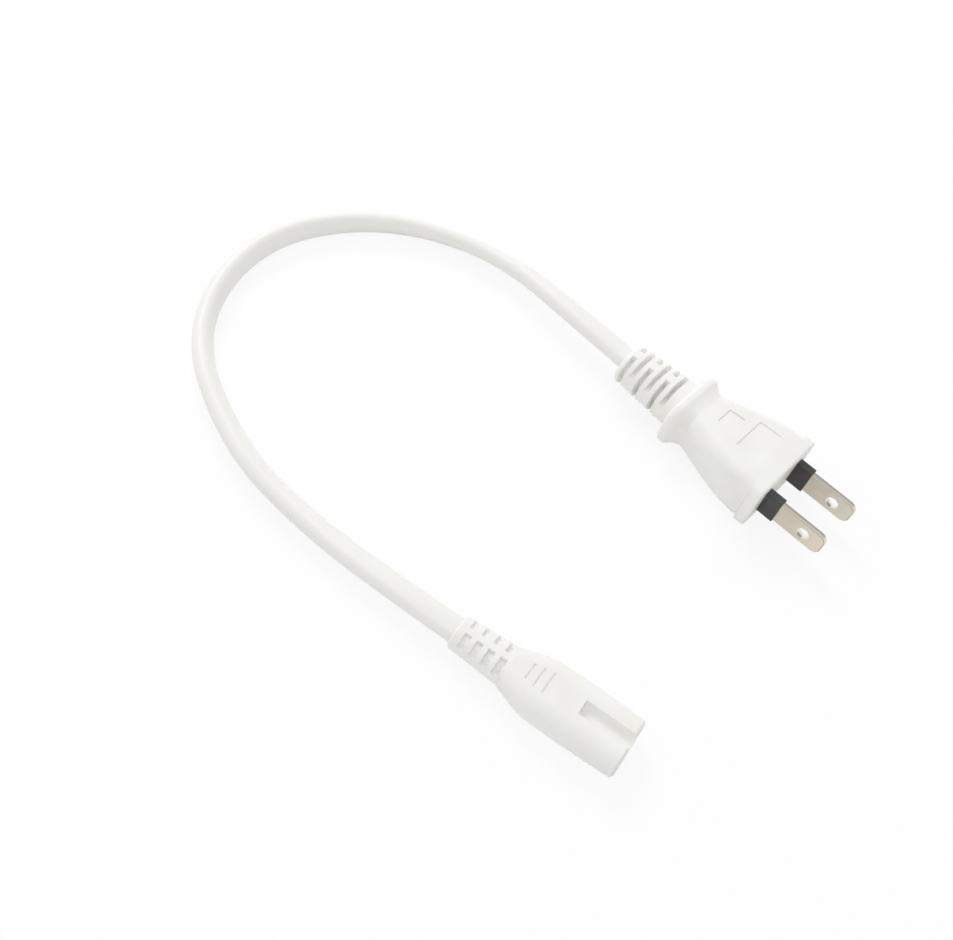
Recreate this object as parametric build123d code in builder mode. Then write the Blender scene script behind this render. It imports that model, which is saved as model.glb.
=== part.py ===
"""Short mains cord: a two-blade plug, a flat twin cord and a figure-of-eight appliance connector.

Millimetres, +Z up, the floor at z = 0. +X is the way the plug's blades point. The plug and the
connector lie flat on the floor and the cord joins them in one open loop.
"""
import os
from math import cos, pi, radians, sin, tan

from build123d import *

# Places on the floor. Each end is placed by the middle of its front face.
PLUG_X = 15.1
PLUG_Y = 37.0
CONNECTOR_X = 31.0
CONNECTOR_Y = -38.6
CONNECTOR_YAW = 9.6

# Flat twin cord
CORD_WIDTH = 6.0
CORD_THICKNESS = 4.1
CORE_DIAMETER = 2.3
CORE_PITCH = 2.6
CORE_BEND = 3.0
STRAND_DIAMETER = 1.5
ARC_SHARE = 0.45

# Shares of a length at which a swelling or flaring body is given a section
SWELL_STEPS = (0, 0.25, 0.5, 0.75, 1)
FLARE_STEPS = (1, 0.5, 0)
SWELL_POWER = 1.2

# Plug: the lip round the front, the tapering grip with two shallow panels sunk in its top, the
# finger guard and the strain relief. Each panel is deepest at its rear and fades toward its front.
LIP_WIDTH = 24.0
LIP_HEIGHT = 13.6
LIP_DEPTH = 2.7
LIP_CORNER = 2.2
LIP_ROUND = 0.6
GRIP_WIDTH = 22.2
GRIP_CORNER = 2.4
WAIST_STATION = 23.7
WAIST_WIDTH = 15.3
WAIST_HEIGHT = 11.4
WAIST_CORNER = 4.8
REAR_PANEL_STATION = 19.5
REAR_PANEL_LENGTH = 4.4
REAR_PANEL_WIDTH = 5.2
FRONT_PANEL_STATION = 12.4
FRONT_PANEL_LENGTH = 6.6
FRONT_PANEL_WIDTH = 9.9
PANEL_ACROSS = 0.7
PANEL_CORNER = 0.4
PANEL_DEPTH = 0.2
REAR_PANEL_FADE = 0.15
FRONT_PANEL_FADE = 0.05
FLARE_LENGTH = 3.2
GUARD_WIDTH = 20.0
GUARD_THICKNESS = 2.1
GUARD_CORNER = 5.6
GUARD_ROUND = 1.0
PLUG_RELIEF_LENGTH = 17.8
PLUG_RELIEF_WIDTH = 13.5
PLUG_RELIEF_HEIGHT = 11.4
PLUG_TAIL_WIDTH = 11.1
PLUG_TAIL_HEIGHT = 9.4
PLUG_TAIL_ROUND = 1.1
PLUG_SHEATH_WALL = 0.8
PLUG_SLOT_COUNT = 6
PLUG_SLOT_PITCH = 2.5
PLUG_SLOT_WIDTH = 1.2
PLUG_FIRST_SLOT = 2.0
TOP_BRIDGE = 2.6
SIDE_BRIDGE = 4.4

# Blades, their black holder and the crimps behind them
BLADE_PITCH = 12.7
BLADE_LENGTH = 16.8
BLADE_WIDTH = 6.3
BLADE_THICKNESS = 1.5
BLADE_TIP_ROUND = 2.0
BLADE_BEVEL = 0.25
BLADE_HOLE_STATION = 11.6
BLADE_HOLE_DIAMETER = 3.1
SLEEVE_LENGTH = 4.3
SLEEVE_WALL = 0.3
FRONT_WALL = 2.0
HOLDER_DEPTH = 7.0
HOLDER_WIDTH = 17.0
HOLDER_HEIGHT = 8.8
HOLDER_CORNER = 1.2
TAIL_LENGTH = 3.6
TAIL_WIDTH = 3.0
TAIL_THICKNESS = 0.8
CRIMP_LENGTH = 5.0
CRIMP_WALL = 0.5
PLUG_SHEATH_END = 28.5

# Connector: the figure-of-eight nose, the shoulder and the strain relief
NOSE_WIDTH = 13.9
NOSE_HEIGHT = 7.8
NOSE_ROUND = 0.9
FIT_LENGTH = 12.0
GROOVE_MOUTH = 3.4
GROOVE_DEPTH = 1.6
CONNECTOR_WIDTH = 14.5
CONNECTOR_HEIGHT = 8.2
SHOULDER_STATION = 19.4
NECK_STATION = 28.8
NECK_WIDTH = 9.6
NECK_HEIGHT = 7.4
CONNECTOR_RELIEF_LENGTH = 12.8
CONNECTOR_RELIEF_WIDTH = 9.2
CONNECTOR_RELIEF_HEIGHT = 7.2
CONNECTOR_TAIL_WIDTH = 7.8
CONNECTOR_TAIL_HEIGHT = 6.3
CONNECTOR_TAIL_ROUND = 0.5
CONNECTOR_SHEATH_WALL = 0.6
WINDOW_COUNT = 4
WINDOW_PITCH = 2.85
WINDOW_WIDTH = 1.5
FIRST_WINDOW = 2.95
WINDOW_TOP_BRIDGE = 1.6
WINDOW_SIDE_BRIDGE = 2.8
MARK_STATION = 20.0
MARK_PITCH = 2.15
MARK_LENGTH = 5.4
MARK_STEP = 0.7
MARK_WIDTH = 0.4
MARK_DEPTH = 0.2
MARK_COUNT = 3

# Contacts and the carrier that holds them
CONTACT_PITCH = 8.6
CONTACT_BORE = 2.4
CONTACT_WALL = 0.3
CONTACT_LENGTH = 10.0
CONTACT_SLIT = 0.6
CONTACT_SLIT_LENGTH = 6.0
CONTACT_NECK = 1.6
CONTACT_NECK_LENGTH = 1.5
CARRIER_LENGTH = 13.0
CARRIER_WALL = 0.6
CARRIER_FRONT = 1.2
CARRIER_WEB = 2.6
ENTRY_DIAMETER = 2.7
ENTRY_COUNTERSINK = 0.3
CONNECTOR_SHEATH_END = 25.5

# The cord's route over the floor, and how far it runs straight out of each strain relief
PLUG_STRAIGHT = 14.2
CONNECTOR_STRAIGHT = 11.9
CORD_ROUTE = [
    (-77.8, 42.0, 3.4),
    (-107.0, 26.4, 3.0),
    (-120.5, -3.3, 3.2),
    (-107.4, -35.8, 3.5),
    (-74.8, -50.4, 3.6),
    (-47.7, -50.7, 2.9),
]

# Values worked out from those above
PLUG_Z = LIP_HEIGHT / 2
CONNECTOR_Z = CONNECTOR_HEIGHT / 2
GUARD_FRONT = WAIST_STATION + FLARE_LENGTH
GUARD_REAR = GUARD_FRONT + GUARD_THICKNESS
PLUG_TAIL = GUARD_REAR + PLUG_RELIEF_LENGTH
HOLDER_REAR = FRONT_WALL + HOLDER_DEPTH
CRIMP_FRONT = HOLDER_REAR + TAIL_LENGTH
CRIMP_REAR = CRIMP_FRONT + CRIMP_LENGTH
CRIMP_DIAMETER = STRAND_DIAMETER + 2 * CRIMP_WALL
CONNECTOR_TAIL = NECK_STATION + CONNECTOR_RELIEF_LENGTH
GROOVE_BOTTOM = NOSE_HEIGHT / 2 - GROOVE_DEPTH
CONTACT_DIAMETER = CONTACT_BORE + 2 * CONTACT_WALL
CONTACT_REAR = CARRIER_FRONT + CONTACT_LENGTH
CONTACT_CRIMP_FRONT = CONTACT_REAR + CONTACT_NECK_LENGTH
CONTACT_CRIMP_REAR = CONTACT_CRIMP_FRONT + CRIMP_LENGTH
CARRIER_TUBE = CONTACT_DIAMETER + 2 * CARRIER_WALL
CONNECTOR_AXIS = Vector(cos(radians(CONNECTOR_YAW)), sin(radians(CONNECTOR_YAW)), 0)
CONNECTOR_ACROSS = Vector(-sin(radians(CONNECTOR_YAW)), cos(radians(CONNECTOR_YAW)), 0)
POLES = {"line": 1, "neutral": -1}


def plug_point(station, across=0):
    """A point on the plug's middle plane, its station counted back from the front face."""
    return Vector(PLUG_X - station, PLUG_Y + across, PLUG_Z)


def plug_section(station):
    """The plane across the plug at a station, with +X local to the left of the blades and +Y local up."""
    return Plane(plug_point(station), x_dir=(0, 1, 0), z_dir=(1, 0, 0))


def connector_point(station, across=0):
    """A point on the connector's middle plane, its station counted back from the front face."""
    front = Vector(CONNECTOR_X, CONNECTOR_Y, CONNECTOR_Z)
    return front - CONNECTOR_AXIS * station + CONNECTOR_ACROSS * across


def connector_section(station):
    """The plane across the connector at a station, with +Y local up."""
    return Plane(connector_point(station), x_dir=CONNECTOR_ACROSS, z_dir=CONNECTOR_AXIS)


def bend_radius(before, corner, after):
    """The largest tangent arc that a corner of the route leaves room for."""
    run_in = corner - before
    run_out = after - corner
    half_turn = radians(run_in.get_angle(run_out)) / 2
    return ARC_SHARE * min(run_in.length, run_out.length) / tan(half_turn)


def swell(start, end, share):
    """A size that grows from start to end, fast at first and level at the end."""
    return start + (end - start) * sin(share * pi / 2) ** SWELL_POWER


def flare(start, end, share):
    """A size that grows from start to end, level at first and fast at the end."""
    return start + (end - start) * (1 - cos(share * pi / 2))


def grip_top(station, across):
    """A point on the top of the plug's grip, between the waist and the lip."""
    share = (WAIST_STATION - station) / (WAIST_STATION - LIP_DEPTH)
    return plug_point(station, across) + Vector(0, 0, swell(WAIST_HEIGHT, LIP_HEIGHT, share) / 2)


def finish(piece, name):
    """Label a finished piece and write its file."""
    piece.label = name
    export_step(piece, f"parts/{name}.step")


os.makedirs("parts", exist_ok=True)

# Cord: one flat sheath with its two cores, from inside the plug to inside the connector
route = [plug_point(PLUG_SHEATH_END), plug_point(PLUG_TAIL + PLUG_STRAIGHT)]
route += [Vector(point) for point in CORD_ROUTE]
route += [connector_point(CONNECTOR_TAIL + CONNECTOR_STRAIGHT), connector_point(CONNECTOR_SHEATH_END)]
bends = [bend_radius(*corner) for corner in zip(route, route[1:], route[2:])]
with BuildPart() as cord:
    with BuildLine() as cord_line:
        FilletPolyline(*route, radius=bends)
    with BuildSketch(plug_section(PLUG_SHEATH_END)) as cord_profile:
        SlotOverall(CORD_WIDTH, CORD_THICKNESS)
    sweep(path=cord_line.wire())
cord_length = cord_line.wire().length
volume_ratio = cord.part.volume / (cord_profile.sketch.area * cord_length)
print("cord bend radii", [round(bend, 1) for bend in bends])
print("cord length", round(cord_length, 1), "volume ratio", round(volume_ratio, 4))
finish(cord.part, "cord")

# Plug cores: each leaves the sheath's end, spreads to its blade and is bared inside the crimp
plug_inserts = [cord.part]
plug_cores = {}
for pole, side in POLES.items():
    core_way = [
        plug_point(CRIMP_REAR, side * BLADE_PITCH / 2),
        plug_point(CRIMP_REAR + CORE_DIAMETER / 2, side * BLADE_PITCH / 2),
        plug_point(PLUG_SHEATH_END - CORE_DIAMETER / 2, side * CORE_PITCH / 2),
        plug_point(PLUG_SHEATH_END, side * CORE_PITCH / 2),
    ]
    with BuildPart() as plug_core:
        with BuildLine() as core_line:
            FilletPolyline(*core_way, radius=CORE_BEND)
        with BuildSketch(Plane(core_line.line @ 0, z_dir=core_line.line % 0)):
            Circle(CORE_DIAMETER / 2)
        sweep(path=core_line.wire())
        with BuildSketch(plug_section(CRIMP_REAR)):
            with Locations((side * BLADE_PITCH / 2, 0)):
                Circle(STRAND_DIAMETER / 2)
        extrude(amount=CRIMP_LENGTH)
    plug_cores[pole] = plug_core.part
    plug_inserts.append(plug_core.part)
    finish(plug_core.part, f"plug_core_{pole}")

# Blades: a bevelled flat tongue with a hole and a rounded tip, and a crimp barrel behind it
blades = []
for pole, side in POLES.items():
    flat_plane = Plane(plug_point(0, side * BLADE_PITCH / 2), x_dir=(1, 0, 0), z_dir=(0, -1, 0))
    with BuildPart() as blade:
        with BuildSketch(flat_plane) as tongue:
            with Locations(((BLADE_LENGTH - HOLDER_REAR) / 2, 0)):
                Rectangle(BLADE_LENGTH + HOLDER_REAR, BLADE_WIDTH)
            fillet(tongue.vertices().group_by(Axis.X)[-1], BLADE_TIP_ROUND)
            with Locations((BLADE_HOLE_STATION, 0)):
                Circle(BLADE_HOLE_DIAMETER / 2, mode=Mode.SUBTRACT)
        extrude(amount=BLADE_THICKNESS / 2, both=True)
        rim_edges = blade.faces().filter_by(Axis.Y).edges().filter_by(lambda edge: not edge.is_closed)
        chamfer(rim_edges, BLADE_BEVEL)
        with BuildSketch(plug_section(CRIMP_FRONT)):
            with Locations((side * BLADE_PITCH / 2, 0)):
                Rectangle(TAIL_THICKNESS, TAIL_WIDTH)
        extrude(amount=TAIL_LENGTH)
        with BuildSketch(plug_section(CRIMP_REAR)):
            with Locations((side * BLADE_PITCH / 2, 0)):
                Circle(CRIMP_DIAMETER / 2)
        extrude(amount=CRIMP_LENGTH)
        add(plug_cores[pole], mode=Mode.SUBTRACT)
    blades.append(blade.part)
    plug_inserts.append(blade.part)
    finish(blade.part, f"blade_{pole}")

# Blade holder: the black block that spaces the blades, with a thin sleeve round each root
with BuildPart() as blade_holder:
    with BuildSketch(plug_section(HOLDER_REAR)):
        RectangleRounded(HOLDER_WIDTH, HOLDER_HEIGHT, HOLDER_CORNER)
    extrude(amount=HOLDER_DEPTH)
    with BuildSketch(plug_section(FRONT_WALL)):
        with GridLocations(BLADE_PITCH, 0, 2, 1):
            Rectangle(BLADE_THICKNESS + 2 * SLEEVE_WALL, BLADE_WIDTH + 2 * SLEEVE_WALL)
    extrude(amount=FRONT_WALL + SLEEVE_LENGTH)
    for blade_part in blades:
        add(blade_part, mode=Mode.SUBTRACT)
plug_inserts.append(blade_holder.part)
finish(blade_holder.part, "blade_holder")

# Plug body: one moulding round the holder, the crimps, the cores and the end of the sheath
plug_sleeve = (CORD_WIDTH + 2 * PLUG_SHEATH_WALL, CORD_THICKNESS + 2 * PLUG_SHEATH_WALL)
with BuildPart() as plug_body:
    with BuildSketch(plug_section(LIP_DEPTH)):
        RectangleRounded(LIP_WIDTH, LIP_HEIGHT, LIP_CORNER)
    extrude(amount=LIP_DEPTH)
    fillet(plug_body.faces().sort_by(Axis.X)[-1].edges(), LIP_ROUND)
    with BuildSketch(plug_section(GUARD_REAR)):
        RectangleRounded(GUARD_WIDTH, LIP_HEIGHT, GUARD_CORNER)
    extrude(amount=GUARD_THICKNESS)
    fillet(plug_body.faces().sort_by(Axis.X)[0].edges(), GUARD_ROUND)
    for step in FLARE_STEPS:
        with BuildSketch(plug_section(WAIST_STATION + step * FLARE_LENGTH)):
            RectangleRounded(
                flare(WAIST_WIDTH, GUARD_WIDTH, step),
                flare(WAIST_HEIGHT, LIP_HEIGHT, step),
                flare(WAIST_CORNER, GUARD_CORNER, step),
            )
    loft()
    guard_edges = plug_body.edges().filter_by(
        lambda edge: abs(plug_section(GUARD_FRONT).to_local_coords(edge.center()).Z) < GUARD_ROUND / 10
    )
    fillet(guard_edges, GUARD_ROUND)
    for step in SWELL_STEPS:
        with BuildSketch(plug_section(WAIST_STATION + step * (LIP_DEPTH - WAIST_STATION))):
            RectangleRounded(
                swell(WAIST_WIDTH, GRIP_WIDTH, step),
                swell(WAIST_HEIGHT, LIP_HEIGHT, step),
                swell(WAIST_CORNER, GRIP_CORNER, step),
            )
    loft()
    for rear, length, width, fade in (
        (REAR_PANEL_STATION, REAR_PANEL_LENGTH, REAR_PANEL_WIDTH, REAR_PANEL_FADE),
        (FRONT_PANEL_STATION, FRONT_PANEL_LENGTH, FRONT_PANEL_WIDTH, FRONT_PANEL_FADE),
    ):
        panel_rear = grip_top(rear, PANEL_ACROSS) - Vector(0, 0, PANEL_DEPTH)
        panel_front = grip_top(rear - length, PANEL_ACROSS) - Vector(0, 0, fade)
        slope = panel_front - panel_rear
        panel_middle = (panel_rear + panel_front) / 2
        with BuildSketch(Plane(panel_middle, x_dir=slope, z_dir=slope.cross(Vector(0, 1, 0)))):
            RectangleRounded(slope.length, width, PANEL_CORNER)
        extrude(amount=LIP_HEIGHT, mode=Mode.SUBTRACT)
    for station, width, height in (
        (PLUG_TAIL, PLUG_TAIL_WIDTH, PLUG_TAIL_HEIGHT),
        (GUARD_REAR, PLUG_RELIEF_WIDTH, PLUG_RELIEF_HEIGHT),
    ):
        with BuildSketch(plug_section(station)):
            Ellipse(width / 2, height / 2)
    loft()
    tail_face = plug_body.faces().filter_by(Axis.X).sort_by(Axis.X)[0]
    fillet(tail_face.edges(), PLUG_TAIL_ROUND)
    for index in range(PLUG_SLOT_COUNT):
        slot_rear = PLUG_TAIL - PLUG_FIRST_SLOT - index * PLUG_SLOT_PITCH + PLUG_SLOT_WIDTH / 2
        with BuildSketch(plug_section(slot_rear)):
            Rectangle(PLUG_RELIEF_WIDTH, PLUG_RELIEF_HEIGHT)
            SlotOverall(*plug_sleeve, mode=Mode.SUBTRACT)
            if index % 2 == 0:
                Rectangle(TOP_BRIDGE, PLUG_RELIEF_HEIGHT, mode=Mode.SUBTRACT)
            else:
                Rectangle(PLUG_RELIEF_WIDTH, SIDE_BRIDGE, mode=Mode.SUBTRACT)
        extrude(amount=PLUG_SLOT_WIDTH, mode=Mode.SUBTRACT)
    for insert in plug_inserts:
        add(insert, mode=Mode.SUBTRACT)
finish(plug_body.part, "plug_body")

# Connector cores: as in the plug, from the sheath's end to the two contacts
connector_inserts = [cord.part]
connector_cores = {}
for pole, side in POLES.items():
    core_way = [
        connector_point(CONTACT_CRIMP_REAR, side * CONTACT_PITCH / 2),
        connector_point(CONTACT_CRIMP_REAR + CORE_DIAMETER / 2, side * CONTACT_PITCH / 2),
        connector_point(CONNECTOR_SHEATH_END - CORE_DIAMETER / 2, side * CORE_PITCH / 2),
        connector_point(CONNECTOR_SHEATH_END, side * CORE_PITCH / 2),
    ]
    with BuildPart() as connector_core:
        with BuildLine() as core_line:
            FilletPolyline(*core_way, radius=CORE_BEND)
        with BuildSketch(Plane(core_line.line @ 0, z_dir=core_line.line % 0)):
            Circle(CORE_DIAMETER / 2)
        sweep(path=core_line.wire())
        with BuildSketch(connector_section(CONTACT_CRIMP_REAR)):
            with Locations((side * CONTACT_PITCH / 2, 0)):
                Circle(STRAND_DIAMETER / 2)
        extrude(amount=CRIMP_LENGTH)
    connector_cores[pole] = connector_core.part
    connector_inserts.append(connector_core.part)
    finish(connector_core.part, f"connector_core_{pole}")

# Contacts: a slit spring tube for the pin, a neck and a crimp barrel
contacts = []
for pole, side in POLES.items():
    with BuildPart() as contact:
        for station, diameter, length in (
            (CONTACT_REAR, CONTACT_DIAMETER, CONTACT_LENGTH),
            (CONTACT_CRIMP_FRONT, CONTACT_NECK, CONTACT_NECK_LENGTH),
            (CONTACT_CRIMP_REAR, CRIMP_DIAMETER, CRIMP_LENGTH),
        ):
            with BuildSketch(connector_section(station)):
                with Locations((side * CONTACT_PITCH / 2, 0)):
                    Circle(diameter / 2)
            extrude(amount=length)
        with BuildSketch(connector_section(CONTACT_REAR - CONTACT_WALL)):
            with Locations((side * CONTACT_PITCH / 2, 0)):
                Circle(CONTACT_BORE / 2)
        extrude(amount=CONTACT_LENGTH - CONTACT_WALL, mode=Mode.SUBTRACT)
        with BuildSketch(connector_section(CARRIER_FRONT + CONTACT_SLIT_LENGTH)):
            with Locations((side * CONTACT_PITCH / 2, CONTACT_DIAMETER / 2)):
                Rectangle(CONTACT_SLIT, CONTACT_DIAMETER)
        extrude(amount=CONTACT_SLIT_LENGTH, mode=Mode.SUBTRACT)
        add(connector_cores[pole], mode=Mode.SUBTRACT)
    contacts.append(contact.part)
    connector_inserts.append(contact.part)
    finish(contact.part, f"contact_{pole}")

# Contact carrier: two tubes and a web, flush with the nose, with a countersunk entry for each pin
with BuildPart() as contact_carrier:
    with BuildSketch(connector_section(CARRIER_LENGTH)):
        Rectangle(CONTACT_PITCH, CARRIER_WEB)
        with GridLocations(CONTACT_PITCH, 0, 2, 1):
            Circle(CARRIER_TUBE / 2)
    extrude(amount=CARRIER_LENGTH)
    with BuildSketch(connector_section(CARRIER_LENGTH)):
        with GridLocations(CONTACT_PITCH, 0, 2, 1):
            Circle(CONTACT_DIAMETER / 2)
    extrude(amount=CARRIER_LENGTH - CARRIER_FRONT, mode=Mode.SUBTRACT)
    with BuildSketch(connector_section(CARRIER_FRONT)):
        with GridLocations(CONTACT_PITCH, 0, 2, 1):
            Circle(ENTRY_DIAMETER / 2)
    extrude(amount=CARRIER_FRONT, mode=Mode.SUBTRACT)
    entry_edges = contact_carrier.edges().filter_by(GeomType.CIRCLE).filter_by(
        lambda edge: abs(edge.radius - ENTRY_DIAMETER / 2) < ENTRY_COUNTERSINK / 10
        and connector_section(0).to_local_coords(edge.arc_center).Z > -ENTRY_COUNTERSINK
    )
    chamfer(entry_edges, ENTRY_COUNTERSINK)
connector_inserts.append(contact_carrier.part)
finish(contact_carrier.part, "contact_carrier")

# Connector body: one moulding round the carrier, the contacts, the cores and the end of the sheath
connector_sleeve = (CORD_WIDTH + 2 * CONNECTOR_SHEATH_WALL, CORD_THICKNESS + 2 * CONNECTOR_SHEATH_WALL)
with BuildPart() as connector_body:
    for station, width, height in (
        (SHOULDER_STATION, CONNECTOR_WIDTH, CONNECTOR_HEIGHT),
        (FIT_LENGTH, CONNECTOR_WIDTH, CONNECTOR_HEIGHT),
        (0, NOSE_WIDTH, NOSE_HEIGHT),
    ):
        with BuildSketch(connector_section(station)):
            SlotOverall(width, height)
    loft(ruled=True)
    nose_face = connector_body.faces().sort_by(Axis(connector_point(0), CONNECTOR_AXIS))[-1]
    fillet(nose_face.edges(), NOSE_ROUND)
    for step in SWELL_STEPS:
        with BuildSketch(connector_section(NECK_STATION + step * (SHOULDER_STATION - NECK_STATION))):
            SlotOverall(
                swell(NECK_WIDTH, CONNECTOR_WIDTH, step),
                swell(NECK_HEIGHT, CONNECTOR_HEIGHT, step),
            )
    loft()
    with BuildSketch(connector_section(FIT_LENGTH)):
        with BuildLine():
            hollow = ThreePointArc(
                (-GROOVE_MOUTH / 2, CONNECTOR_HEIGHT / 2),
                (0, GROOVE_BOTTOM),
                (GROOVE_MOUTH / 2, CONNECTOR_HEIGHT / 2),
            )
            Line(hollow @ 1, hollow @ 0)
        make_face()
        mirror(about=Plane.XZ)
    extrude(amount=FIT_LENGTH, mode=Mode.SUBTRACT)
    for station, width, height in (
        (CONNECTOR_TAIL, CONNECTOR_TAIL_WIDTH, CONNECTOR_TAIL_HEIGHT),
        (NECK_STATION, CONNECTOR_RELIEF_WIDTH, CONNECTOR_RELIEF_HEIGHT),
    ):
        with BuildSketch(connector_section(station)):
            SlotOverall(width, height)
    loft()
    relief_face = connector_body.faces().sort_by(Axis(connector_point(0), CONNECTOR_AXIS))[0]
    fillet(relief_face.edges(), CONNECTOR_TAIL_ROUND)
    for index in range(WINDOW_COUNT):
        window_rear = CONNECTOR_TAIL - FIRST_WINDOW - index * WINDOW_PITCH + WINDOW_WIDTH / 2
        with BuildSketch(connector_section(window_rear)):
            Rectangle(CONNECTOR_RELIEF_WIDTH, CONNECTOR_RELIEF_HEIGHT)
            SlotOverall(*connector_sleeve, mode=Mode.SUBTRACT)
            Rectangle(WINDOW_TOP_BRIDGE, CONNECTOR_RELIEF_HEIGHT, mode=Mode.SUBTRACT)
            Rectangle(CONNECTOR_RELIEF_WIDTH, WINDOW_SIDE_BRIDGE, mode=Mode.SUBTRACT)
        extrude(amount=WINDOW_WIDTH, mode=Mode.SUBTRACT)
    for index in range(MARK_COUNT):
        mark_station = MARK_STATION + index * MARK_PITCH
        share = (NECK_STATION - mark_station) / (NECK_STATION - SHOULDER_STATION)
        mark_floor = swell(NECK_HEIGHT, CONNECTOR_HEIGHT, share) / 2 - MARK_DEPTH
        mark_centre = connector_point(mark_station) + Vector(0, 0, mark_floor)
        with BuildSketch(Plane(mark_centre, x_dir=CONNECTOR_ACROSS, z_dir=(0, 0, 1))):
            SlotOverall(MARK_LENGTH - index * MARK_STEP, MARK_WIDTH)
        extrude(amount=CONNECTOR_HEIGHT, mode=Mode.SUBTRACT)
    with BuildSketch(connector_section(CONTACT_REAR)):
        with GridLocations(CONTACT_PITCH, 0, 2, 1):
            Circle(CARRIER_TUBE / 2)
    extrude(amount=CONTACT_REAR, mode=Mode.SUBTRACT)
    for insert in connector_inserts:
        add(insert, mode=Mode.SUBTRACT)
finish(connector_body.part, "connector_body")
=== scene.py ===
"""Looks for a short mains cord: its flat cord, the finishes of its mouldings and metal, and the stage."""
import math

import bpy
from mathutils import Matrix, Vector


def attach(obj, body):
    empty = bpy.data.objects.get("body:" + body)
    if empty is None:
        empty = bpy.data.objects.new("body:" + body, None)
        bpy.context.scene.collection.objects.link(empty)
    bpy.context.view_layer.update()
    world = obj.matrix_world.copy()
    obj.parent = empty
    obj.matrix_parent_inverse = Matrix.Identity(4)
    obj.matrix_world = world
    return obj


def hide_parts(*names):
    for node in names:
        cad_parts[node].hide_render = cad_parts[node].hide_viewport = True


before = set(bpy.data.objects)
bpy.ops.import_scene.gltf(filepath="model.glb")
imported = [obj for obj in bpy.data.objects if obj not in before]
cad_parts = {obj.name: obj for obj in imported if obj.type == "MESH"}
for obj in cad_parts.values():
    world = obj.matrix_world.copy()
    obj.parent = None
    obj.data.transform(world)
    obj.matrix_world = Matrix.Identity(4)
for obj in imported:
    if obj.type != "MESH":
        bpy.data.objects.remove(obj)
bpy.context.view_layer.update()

bl_info = {
    "name": "Mains Cord Looks",
    "version": (1, 0, 0),
    "blender": (4, 5, 0),
    "location": "View3D > Sidebar > Mains Cord",
    "description": "Lays the flat cord, finishes the plug and the connector, and sets the stage",
    "category": "Object",
}

# Lengths and places are in metres. Where two values bound a mask, it is nought at the first and full at
# the second.

# The route's control points, from inside the plug's strain relief to inside the connector's
CORD_ROUTE = (
    (-0.0134, 0.0370, 0.0068),
    (-0.0459, 0.0381, 0.0068),
    (-0.0778, 0.0416, 0.0034),
    (-0.1070, 0.0264, 0.0030),
    (-0.1205, -0.0033, 0.0032),
    (-0.1074, -0.0358, 0.0035),
    (-0.0748, -0.0504, 0.0036),
    (-0.0477, -0.0507, 0.0029),
    (-0.02175, -0.04752, 0.0041),
    (0.00586, -0.04285, 0.0041),
)
# How far the flat cord leans over along its run: the distance from its start, and degrees from lying flat
CORD_LEAN = (
    (0.000, 0.0),
    (0.024, 0.0),
    (0.045, 16.0),
    (0.072, 45.0),
    (0.097, 72.0),
    (0.113, 93.0),
    (0.130, 107.0),
    (0.155, 112.0),
    (0.178, 124.0),
    (0.197, 139.0),
    (0.217, 151.0),
    (0.240, 168.0),
    (0.254, 180.0),
    (0.300, 180.0),
)
# Steps of the smooth line between two control points
ROUTE_STEPS = 24

# The blades' place: the middle of their holes along X and Z, the hole's radius, the near face of the near
# blade, and the distance between the blades
HOLE_X = 0.0267
HOLE_Z = 0.0068
HOLE_RADIUS = 0.00155
BLADE_NEAR_FACE = 0.0299
BLADE_PITCH = 0.0127
# Where the blades grow brighter toward their tips, by the place along X
TIP_BAND = (0.0205, 0.0310)
# The bevels, where a reflection is painted, lie between the flat faces and the edges, by the share of Y in
# their normals
BEVEL_FROM_EDGE = (0.5, 0.6)
BEVEL_FROM_FACE = (0.9, 0.8)
# The painted shade on the top edges, by the share of Z in the normal and by the distance across the blade
UPPER_EDGE = (0.8, 0.9)
EDGE_SHADE_BAND = (0.0001, 0.0010)
# The walls of a hole, which are painted pale as a reflection, lie within this many radii of its middle
HOLE_REACH = 1.02
# The painted shadow spot in each hole: the shares of X and Z in the way it lies, its distance that way as a
# share of the radius, and its depth in the hole
SPOT_WAY = (-0.34, -0.94)
SPOT_BAND = (0.85, 0.95)
SPOT_DEPTH = (0.0009, 0.0005)
# The way the connector's nose points, and its rounded rim, where shade is painted: by the distance that way,
# and by the share of that way in the normal, which sets the rim apart from the sides and from the flat front
NOSE_WAY = (0.98600, 0.16677, 0.0)
RIM_BAND = (0.0228, 0.0234)
RIM_FROM_SIDE = (0.2, 0.6)
RIM_FROM_FRONT = (0.995, 0.95)
# The hollows of the mouldings, where light is painted in, by how open they are to all sides
HOLLOW_BAND = (0.95, 0.55)
HOLLOW_SAMPLES = 8
# The slow drift of a moulding's tone and the scuffs of the plating, by the strength of their noise
DRIFT_BAND = (0.35, 0.65)
SCUFF_BAND = (0.4, 0.7)

# Roughness of each finish, from its smoothest to its dullest places
CORD_ROUGHNESS = (0.38, 0.46)
WHITE_ROUGHNESS = (0.36, 0.46)
BLACK_ROUGHNESS = (0.42, 0.55)
INSULATION_ROUGHNESS = (0.4, 0.5)
BLADE_ROUGHNESS = (0.3, 0.42)
CONTACT_ROUGHNESS = (0.35, 0.5)
# The plastic: strength of its grain, rounding of its sharp edges in the shading, its shine, and how much,
# how far and in which colours light sinks in
GRAIN_STRENGTH = 0.25
EDGE_SOFTNESS = 0.0004
EDGE_SAMPLES = 6
PLASTIC_SHINE = 0.4
SOFT = 0.45
SOFT_DEPTH = 0.0010
SOFT_COLOURS = (1.0, 0.95, 0.85)
# The black drifts to this share of its colour
BLACK_DRIFT = 0.7
# The plating's streaks: how they are drawn out along X, and their depth and strength
STREAK_STRETCH = (0.05, 1.0, 1.0)
STREAK_DEPTH = 0.000006
STREAK_STRENGTH = 0.3

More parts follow.
